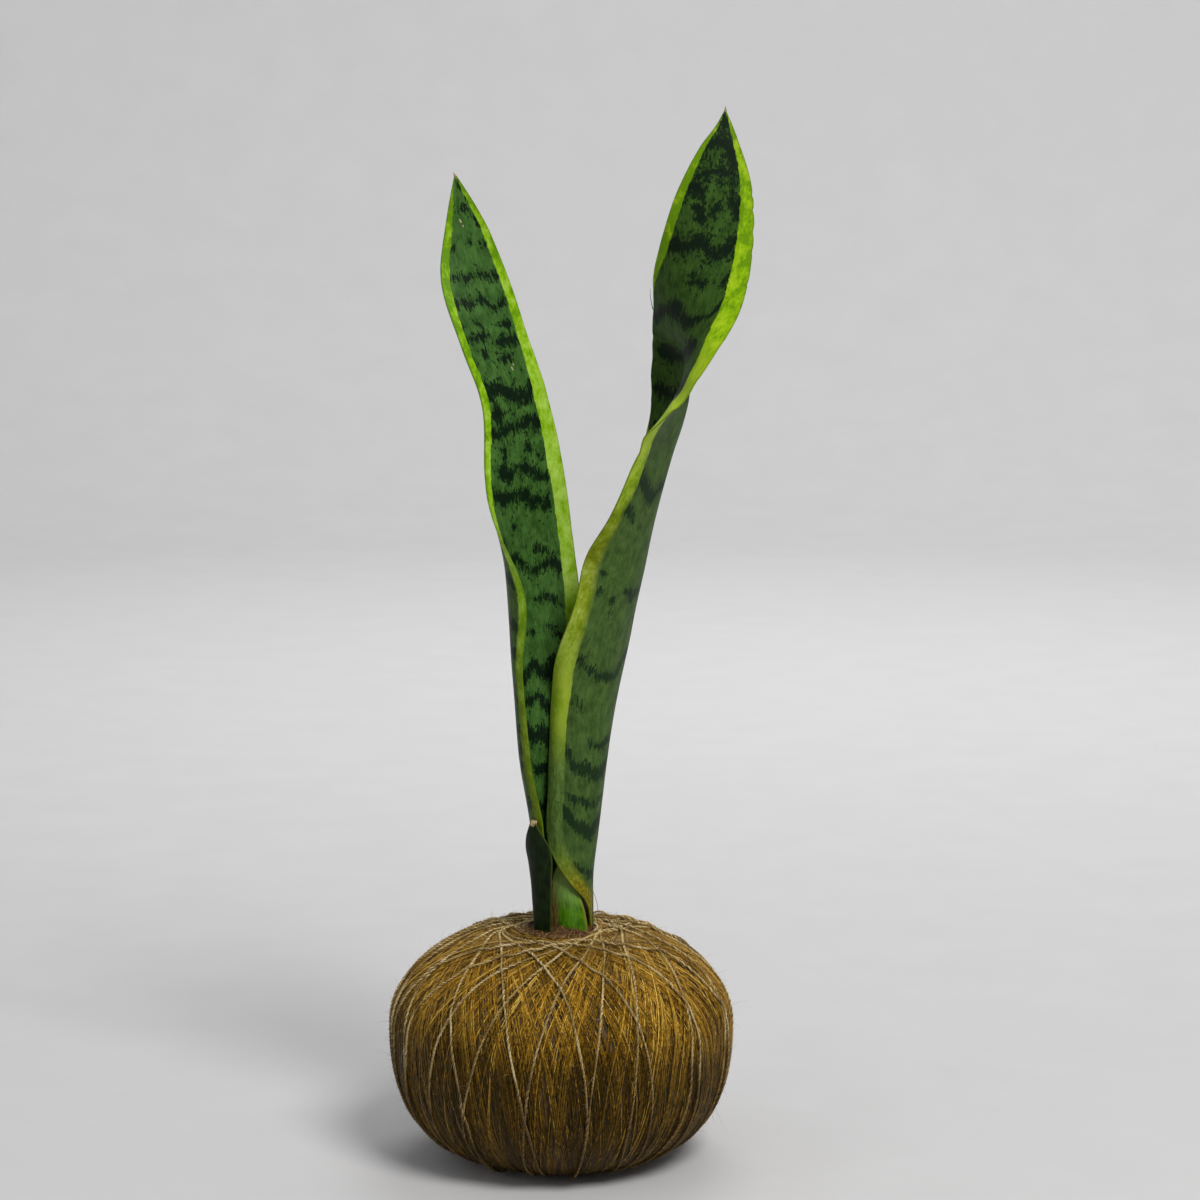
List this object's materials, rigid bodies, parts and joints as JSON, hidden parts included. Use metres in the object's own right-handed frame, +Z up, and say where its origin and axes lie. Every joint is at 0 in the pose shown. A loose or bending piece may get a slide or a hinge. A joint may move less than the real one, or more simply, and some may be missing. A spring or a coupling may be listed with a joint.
{
  "type": "kokedama plant ball",
  "caption": "Ball of soil wound in golden-brown thread and bound with jute twine, planted with an upright snake plant with yellow-edged banded leaves.",
  "frame": {"origin": "centre of the flat spot that the ball rests on", "axes": "+Z up along the plant, -Y towards the viewer of the front, where the tall leaves' yellow edges face"},
  "size_m": [0.1611, 0.1563, 0.4657],
  "materials": {
    "winding_thread": "satin",
    "jute_twine": "matte",
    "soil": "matte",
    "rhizome_bark": "matte",
    "leaf_banded": "satin",
    "leaf_dark": "satin",
    "leaf_bright": "satin"
  },
  "bodies": {
    "root": {"thread_winding": "winding_thread", "twine_binding": "jute_twine", "root_ball": "soil", "rhizome": "rhizome_bark", "leaf_tall_left": "leaf_banded", "leaf_tall_right": "leaf_banded", "leaf_short": "leaf_dark", "leaf_sheath": "leaf_bright"}
  },
  "joints": []
}
